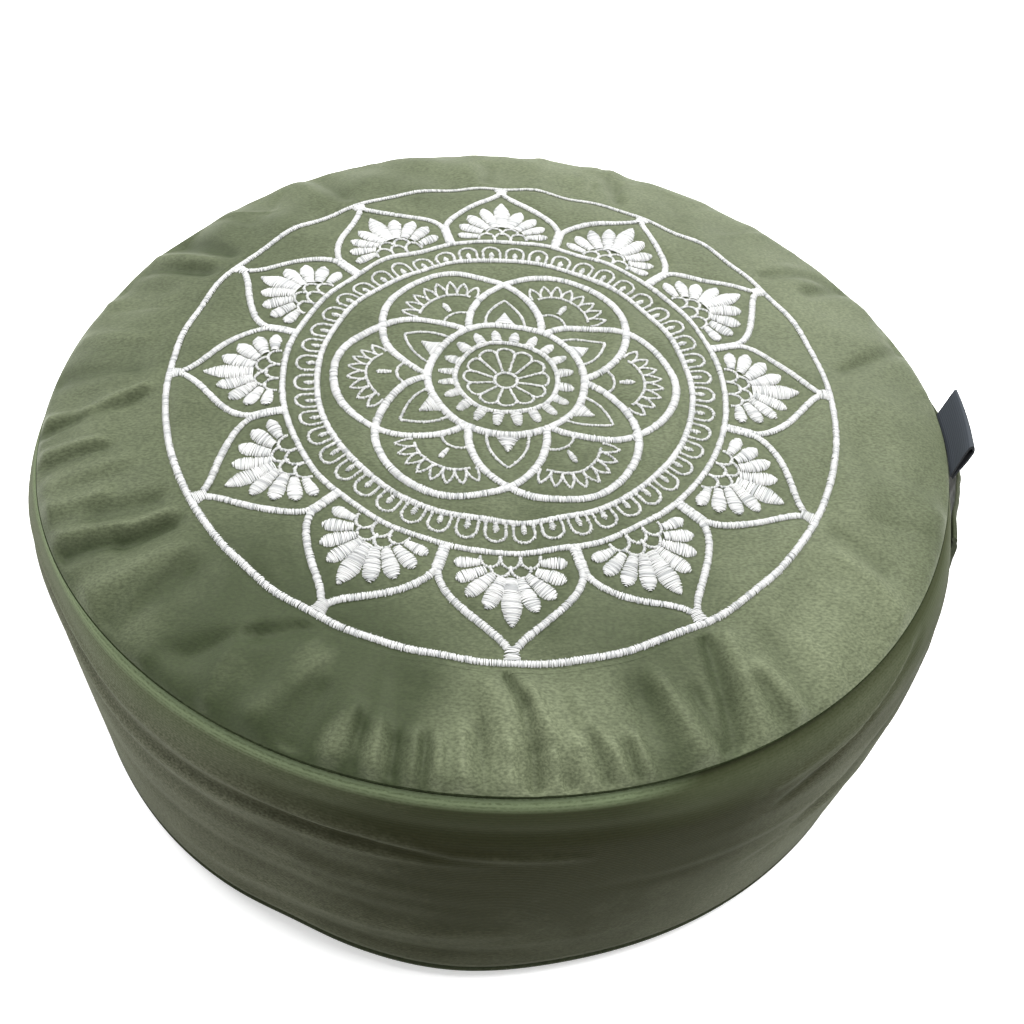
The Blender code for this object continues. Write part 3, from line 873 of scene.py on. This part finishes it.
rosette = []
for ring in range(ROSETTE_RINGS):
    middle = ring * 360.0 / ROSETTE_RINGS
    loop = beside(middle, ROSETTE_OFFSET, np.linspace(-180.0, 180.0, 361), ROSETTE_RADIUS)
    outside = np.hypot(loop[:, 0], loop[:, 1]) > HUB_RADIUS
    rosette.append(satin(loop[outside], ROSETTE_WIDTH, 0.50 * MM))

    arc = beside(middle, CROWN_FOOT, np.linspace(-52.0, 52.0, 40), CROWN_RADIUS)
    rosette.append(satin(arc, FINE_WIDTH, 0.5 * MM, 2))
    for tooth in range(TEETH):
        rise = np.linspace(0.0, 1.0, 9)
        half_tooth = 0.5 * TOOTH_SPREAD * (1.0 - rise**1.8)
        tooth_at = (tooth - 0.5 * (TEETH - 1)) * TOOTH_SPREAD
        turned = np.concatenate([-half_tooth, half_tooth[-2::-1]]) + tooth_at
        reach = CROWN_RADIUS + 0.5 * MM + 7.4 * MM * np.concatenate([rise, rise[-2::-1]])
        rosette.append(satin(beside(middle, CROWN_FOOT, turned, reach), 0.9 * FINE_WIDTH, 0.45 * MM, 2))
    bar = beside(middle, 0.0, 0.0, np.linspace(48.6, 55.4, 8) * MM)
    rosette.append(satin(bar, leaf_shape(2.6, 2.5), 0.45 * MM, 2))
    low = beside(middle, 39.0 * MM, np.linspace(-62.0, 62.0, 20), 7.6 * MM)
    rosette.append(satin(low, FINE_WIDTH, 0.5 * MM, 2))

    between = middle + 180.0 / ROSETTE_RINGS
    along = np.linspace(0.0, 1.0, 24)
    radius = HUB_RADIUS + 1.0 * MM + along * 16.5 * MM
    for hand in (-1.0, 1.0):
        swing = np.degrees(8.8 * MM * np.cos(0.5 * math.pi * along**1.25) / radius)
        rosette.append(satin(on_circle(between + hand * swing, radius), FINE_WIDTH, 0.5 * MM, 2))
    drop = on_circle(between, np.linspace(HUB_RADIUS + 1.2 * MM, HUB_RADIUS + 8.6 * MM, 10))
    rosette.append(satin(drop, drop_width, 0.55 * MM))
sew("rosette_stitching", rosette)

# ---- The hub -----------------------------------------------------------------------------------------
# A heavy ring, small filled seeds, a fine ring and a flower of twelve outlined petals in the middle.
INNER_RING = 22.0 * MM
SEEDS = 20
FLOWER_PETALS = 12
FLOWER_RADIUS = 18.2 * MM
FLOWER_HEAD = 3.8 * MM  # depth of a petal's round head
FLOWER_LINE = 1.15 * MM
EYE_RADIUS = 4.9 * MM


def seed_width(share):
    """A seed is widest at its foot and rounds off to its tip."""
    return 4.5 * MM * np.sqrt(np.clip(1.0 - share**3.2, 0.1, 1.0))


hub = [
    satin(on_circle(all_round, HUB_RADIUS), 3.3 * MM, 0.55 * MM),
    satin(on_circle(all_round[::2], INNER_RING), 2.2 * MM, 0.6 * MM, 2),
    satin(on_circle(all_round[::4], EYE_RADIUS), 1.4 * MM, 0.5 * MM, 2),
]
for seed in range(SEEDS):
    out = np.linspace(INNER_RING + 0.8 * MM, INNER_RING + 7.4 * MM, 10)
    line = on_circle((seed + 0.5) * 360.0 / SEEDS, out)
    hub.append(satin(line, seed_width, 0.5 * MM, 2))
knee = FLOWER_RADIUS - FLOWER_HEAD
for petal in range(FLOWER_PETALS):
    at = petal * 360.0 / FLOWER_PETALS
    spoke = np.linspace(EYE_RADIUS + 0.8 * MM, knee, 14)
    hub.append(satin(on_circle(at + 180.0 / FLOWER_PETALS, spoke), FLOWER_LINE, 0.45 * MM, 2))
    head = np.radians(np.linspace(90.0, -90.0, 20))
    arc = on_circle(at + 180.0 / FLOWER_PETALS * np.sin(head), knee + FLOWER_HEAD * np.cos(head) ** 0.8)
    hub.append(satin(arc, FLOWER_LINE, 0.45 * MM, 2))
sew("hub_stitching", hub)

# The tight stitches draw the velvet down beside them.
STITCH_SINK = 0.7 * MM
STITCH_SINK_REACH = 1.7 * MM
line_points = np.concatenate([places[::2] for places, _ in sewn_lines])
line_halves = np.concatenate([halves[::2] for _, halves in sewn_lines])
nearby = KDTree(len(line_points))
for number, (x, y) in enumerate(line_points):
    nearby.insert((x, y, 0.0), number)
nearby.balance()
for vertex in cover.data.vertices:
    x, y, z = vertex.co
    if z > SEAM_HEIGHT and math.hypot(x, y) < RING_RADIUS + 6.0 * MM:
        _, number, distance = nearby.find((x, y, 0.0))
        edge = max(distance - line_halves[number], 0.0)
        vertex.co.z = z - STITCH_SINK * math.exp(-((edge / STITCH_SINK_REACH) ** 2))

# ---- The carry strap ---------------------------------------------------------------------------------
# A strip of the same velvet folded double, edge-stitched along both sides, and sewn flat to the band
# at each end with a crossed box of stitches. Its free middle hangs a little and bows out for a hand.
STRAP_AZIMUTHS = (-15.2, 24.0)  # of its sewn ends
STRAP_WIDTH = 28.0 * MM
STRAP_THICKNESS = 2.4 * MM
STRAP_HEIGHT = 115.0 * MM  # of the middle of its width, at its sewn ends
STRAP_DROOP = 12.0 * MM
STRAP_BOW = 10.5 * MM
STRAP_SEWN_SHARE = 0.09
STRAP_BOW_FULLNESS = 1.3
STRAP_STATIONS = 181
CLEARANCE = 0.5 * MM
EDGE_STITCH = 3.2 * MM  # from the strap's edge to its stitching
STITCH_LENGTH = 2.6 * MM
STITCH_PITCH = 3.4 * MM
STITCH_THICKNESS = 0.5 * MM


def strap_bow(share):
    """How far the strap stands off the band, along its length from 0 to 1."""
    free = np.clip((share - STRAP_SEWN_SHARE) / (1.0 - 2.0 * STRAP_SEWN_SHARE), 0.0, 1.0)
    return STRAP_BOW * np.sin(math.pi * free) ** STRAP_BOW_FULLNESS


def strap_point(share, up, through):
    """A point of the strap: share of its length, height from its middle line, depth from its back."""
    azimuth = part_way(*STRAP_AZIMUTHS, share)
    height = STRAP_HEIGHT - STRAP_DROOP * strap_bow(share) / STRAP_BOW + up
    radius = band_radius(azimuth, height, 1.0 - strap_bow(share) / STRAP_BOW)
    radius = radius + CLEARANCE + strap_bow(share) + through
    return round_points(azimuth, radius, height)


half = 0.5 * STRAP_WIDTH
corner = np.radians(np.linspace(0.0, 90.0, 5))
ups = np.linspace(-1.0, 1.0, 29) * (half - 0.5 * STRAP_THICKNESS)
# Two stitched grooves run along the strap, and between them the filling of the fold swells a little.
groove = bump(np.abs(ups) - (half - EDGE_STITCH), 0.9 * MM)
front = STRAP_THICKNESS * (1.0 - 0.30 * groove) - 0.12 * MM * bump(ups, 3.0 * MM)
back = STRAP_THICKNESS * 0.16 * groove
rim_up = half - 0.5 * STRAP_THICKNESS * (1.0 - np.sin(corner))
rim_through = 0.5 * STRAP_THICKNESS * (1.0 - np.cos(corner))
section = [(-up, through) for up, through in zip(rim_up[::-1], rim_through[::-1])]
section += list(zip(ups, back))[1:-1]
section += list(zip(rim_up, rim_through))
section += [(up, STRAP_THICKNESS - through) for up, through in zip(rim_up[::-1], rim_through[::-1])]
section += list(zip(ups, front))[1:-1][::-1]
section += [(-up, STRAP_THICKNESS - through) for up, through in zip(rim_up, rim_through)]
section = np.array(section)


def skin(stations):
    """Points and faces of a closed skin over like rings of points, its two ends filled."""
    count, around = stations.shape[:2]
    number = np.arange(count * around).reshape(count, around)
    after = np.roll(number, -1, axis=1)
    corners = (number[:-1], after[:-1], after[1:], number[1:])
    faces = np.stack(corners, axis=-1).reshape(-1, 4).tolist()
    return stations.reshape(-1, 3), faces + [number[0][::-1].tolist(), number[-1].tolist()]


share = np.linspace(0.0, 1.0, STRAP_STATIONS)[:, None]
ripple = 0.25 * MM * np.sin(38.0 * share + 1.0) + 0.2 * MM * np.sin(83.0 * share)
# The strap is the same velvet in darker colours, as painted shade.
strap_velvet = velvet("strap_velvet", (0.026, 0.032, 0.014), (0.048, 0.058, 0.030), 0.2, 0.06)
depths = section[:, 1] + ripple * strap_bow(share) / STRAP_BOW
points, faces = skin(strap_point(share, section[:, 0], depths))
strap = add_piece("velvet_strap", points, faces, [strap_velvet])
strap.data.set_sharp_from_angle(angle=math.radians(80.0))
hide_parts("carry_handle")


def dashes_along(shares, ups):
    """Short dashes of thread on the strap, along a line given by shares of its length and heights."""
    along = distances(strap_point(np.array(shares), np.array(ups), STRAP_THICKNESS))
    made = []
    for at in np.arange(0.5 * STITCH_PITCH, along[-1] - 0.4 * STITCH_PITCH, STITCH_PITCH):
        here = np.linspace(at - 0.5 * STITCH_LENGTH, at + 0.5 * STITCH_LENGTH, 6)
        part, up = np.interp(here, along, shares), np.interp(here, along, ups)
        arch = np.sin(math.pi * np.linspace(0.04, 0.96, 6))
        middle = strap_point(part, up, STRAP_THICKNESS * 0.72 + 0.62 * STITCH_THICKNESS * arch)
        ahead = np.gradient(middle, axis=0)
        ahead /= np.linalg.norm(ahead, axis=1, keepdims=True)
        out = middle * (1.0, 1.0, 0.0)
        out /= np.linalg.norm(out, axis=1, keepdims=True)
        side = np.cross(ahead, out)
        ring = [
            middle + 0.5 * STITCH_THICKNESS * (math.cos(turned) * side + math.sin(turned) * out)
            for turned in np.radians(np.arange(0.0, 360.0, 60.0))
        ]
        made.append(skin(np.stack(ring, axis=1)))
    return made


dashes = []
low, high = -half + EDGE_STITCH, half - EDGE_STITCH
for edge in (low, high):
    dashes += dashes_along(np.linspace(0.012, 0.988, 240), np.full(240, edge))
box_share = STRAP_SEWN_SHARE - 0.012
for first, last in ((0.014, box_share), (1.0 - box_share, 0.986)):
    for shares, ups in (
        ((first, first), (low, high)),
        ((last, last), (low, high)),
        ((first, last), (low, high)),
        ((first, last), (high, low)),
    ):
        dashes += dashes_along(np.linspace(*shares, 40), np.linspace(*ups, 40))
dash_points = np.concatenate([points for points, _ in dashes])
dash_faces = [
    [number + which * len(points) for number in face]
    for which, (points, faces) in enumerate(dashes)
    for face in faces
]
strap_thread = Finish("strap_thread")
twist = strap_thread.noise(strap_thread.place(), 2600.0, 3.0)
strap_thread.surface(
    Base_Color=strap_thread.mix(twist, (0.040, 0.050, 0.024), (0.085, 0.100, 0.055)),
    Roughness=0.5,
    Normal=strap_thread.relief(twist, 0.1 * MM, 0.4),
)
stitching = add_piece("strap_stitching", dash_points, dash_faces, [strap_thread.material])

# ---- The side label ----------------------------------------------------------------------------------
# A short plain woven ribbon, folded double, with both its ends caught in the top seam. Its two layers
# stand a little apart at the near end, and inside the fold it is painted darker, as painted shade.
LABEL_AZIMUTHS = (-9.0, 2.0)
LABEL_ROOT_OUT = 2.4 * MM
LABEL_LENGTH = 12.5 * MM
LABEL_RISE = 50.0  # degrees that it slants up
LABEL_DRIFTS = (11.0 * MM, 7.5 * MM)  # how far its fold leans along the seam, at its near and far ends
LABEL_THICKNESS = 1.0 * MM
LABEL_HALF_GAPS = (1.1 * MM, 0.3 * MM)  # half the space in its fold, at the same ends
LABEL_ROOT_HALF_GAP = 0.2 * MM
LABEL_STATIONS = 61
RIBBON_COLOURS = ((0.014, 0.018, 0.024), (0.024, 0.030, 0.038), (0.040, 0.046, 0.052))


def label_loop(half_gap, offset):
    """One face of the folded ribbon in section: out along the label, and across it."""
    out = np.linspace(0.0, 0.72, 12)
    gap = part_way(LABEL_ROOT_HALF_GAP, half_gap, ease(out / 0.7))
    angle = np.radians(np.linspace(-75.0, 75.0, 13))
    fold = LABEL_LENGTH - half_gap - LABEL_THICKNESS
    leg = [(share * LABEL_LENGTH, -side - offset) for share, side in zip(out, gap)]
    tip = [(fold + (half_gap + offset) * math.cos(a), (half_gap + offset) * math.sin(a)) for a in angle]
    return leg + tip + [(far, -side) for far, side in reversed(leg)]


stations = []
rise = math.radians(LABEL_RISE)
for share in np.linspace(0.0, 1.0, LABEL_STATIONS):
    half_gap = part_way(*LABEL_HALF_GAPS, share)
    out, aside = np.array(label_loop(half_gap, LABEL_THICKNESS) + label_loop(half_gap, 0.0)[::-1]).T
    azimuth = part_way(*LABEL_AZIMUTHS, share)
    radius = seam_radius(azimuth) + LABEL_ROOT_OUT + out * math.cos(rise) - aside * math.sin(rise)
    drift = part_way(*LABEL_DRIFTS, share)
    leaned = azimuth + np.degrees(drift * out / LABEL_LENGTH / radius)
    height = SEAM_HEIGHT + out * math.sin(rise) + aside * math.cos(rise)
    stations.append(round_points(leaned, radius, height))


def ribbon_finish(name, tone):
    """Close woven ribbon: fine ribs and a slight gloss. Its tone is 1 outside and less in the fold, as
    painted shade.
    """
    finish = Finish(name)
    dark, light, worn = (tuple(tone * part for part in colour) for colour in RIBBON_COLOURS)
    place = finish.place()
    woven = {"Vector": place, "Scale": 420.0, "Distortion": 0.6}
    ribs = finish.node("ShaderNodeTexWave", {"bands_direction": "Z"}, woven, 1)
    fuzz = finish.noise(place, 1500.0, 3.0)
    colour = finish.mix(ribs, dark, light)
    return finish.surface(
        Base_Color=finish.mix(fuzz * 0.3, colour, worn),
        Roughness=0.66,
        Specular_IOR_Level=0.2,
        Sheen_Weight=0.05,
        Normal=finish.relief(ribs + fuzz * 0.5, 0.12 * MM, 0.5),
    )


points, faces = skin(np.array(stations))
half_round = len(stations[0]) // 2
inside = ([0] * half_round + [1] * half_round) * (LABEL_STATIONS - 1) + [1, 1]
# The inside of the fold is painted darker, as painted shade.
ribbons = [ribbon_finish("label_ribbon", 1.0), ribbon_finish("label_inside_shaded", 0.22)]
label = add_piece("ribbon_label", points, faces, ribbons, inside)
label.data.set_sharp_from_angle(angle=math.radians(50.0))
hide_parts("side_label")

# ---- Floor, light and camera -------------------------------------------------------------------------
# A plain pale floor, soft studio light from behind and above, and the camera where the photograph's was.
CAMERA_PLACE = (-0.0311, -0.3867, 0.5268)
CAMERA_RIGHT = (0.9973, -0.0204, 0.0703)
CAMERA_AHEAD = (0.0667, 0.6491, -0.7577)
CAMERA_LENS = 43.53  # millimetres, before a sensor 36 mm wide

finish = Finish("pale_floor")
plain = finish.surface(
    Base_Color=(0.93, 0.93, 0.93),
    Roughness=0.9,
    Emission_Color=(1.0, 1.0, 1.0),
    Emission_Strength=0.40,
)
floor_data = bpy.data.meshes.new("floor")
floor_data.from_pydata([(-6, -6, 0), (6, -6, 0), (6, 6, 0), (-6, 6, 0)], [], [(0, 1, 2, 3)])
floor_data.materials.append(plain)
floor = bpy.data.objects.new("floor", floor_data)
bpy.context.scene.collection.objects.link(floor)


def softbox(name, place, size, power):
    """A square soft light that shines on the cushion's top."""
    data = bpy.data.lights.new(name, "AREA")
    data.size = size
    data.energy = power
    made = bpy.data.objects.new(name, data)
    bpy.context.scene.collection.objects.link(made)
    made.location = place
    made.rotation_euler = (Vector((0.0, 0.0, 0.12)) - made.location).to_track_quat("-Z", "Y").to_euler()


softbox("window_light", (0.85, 1.6, 1.5), 1.1, 37.0)
softbox("left_light", (-1.4, 0.9, 1.5), 1.0, 34.0)
softbox("ceiling_light", (0.6, -0.1, 2.1), 0.9, 48.0)

world = bpy.data.worlds.new("studio")
world.use_nodes = True
world.node_tree.nodes["Background"].inputs["Color"].default_value = (1.0, 1.0, 1.0, 1.0)
world.node_tree.nodes["Background"].inputs["Strength"].default_value = 0.58
bpy.context.scene.world = world
bpy.context.scene.view_settings.view_transform = "Standard"

right = Vector(CAMERA_RIGHT).normalized()
back = -Vector(CAMERA_AHEAD).normalized()
lens = bpy.data.cameras.new("camera")
lens.sensor_width = 36.0
lens.lens = CAMERA_LENS
camera = bpy.data.objects.new("camera", lens)
bpy.context.scene.collection.objects.link(camera)
turned = Matrix((right, back.cross(right), back)).transposed()
camera.matrix_world = Matrix.Translation(CAMERA_PLACE) @ turned.to_4x4()
bpy.context.scene.camera = camera
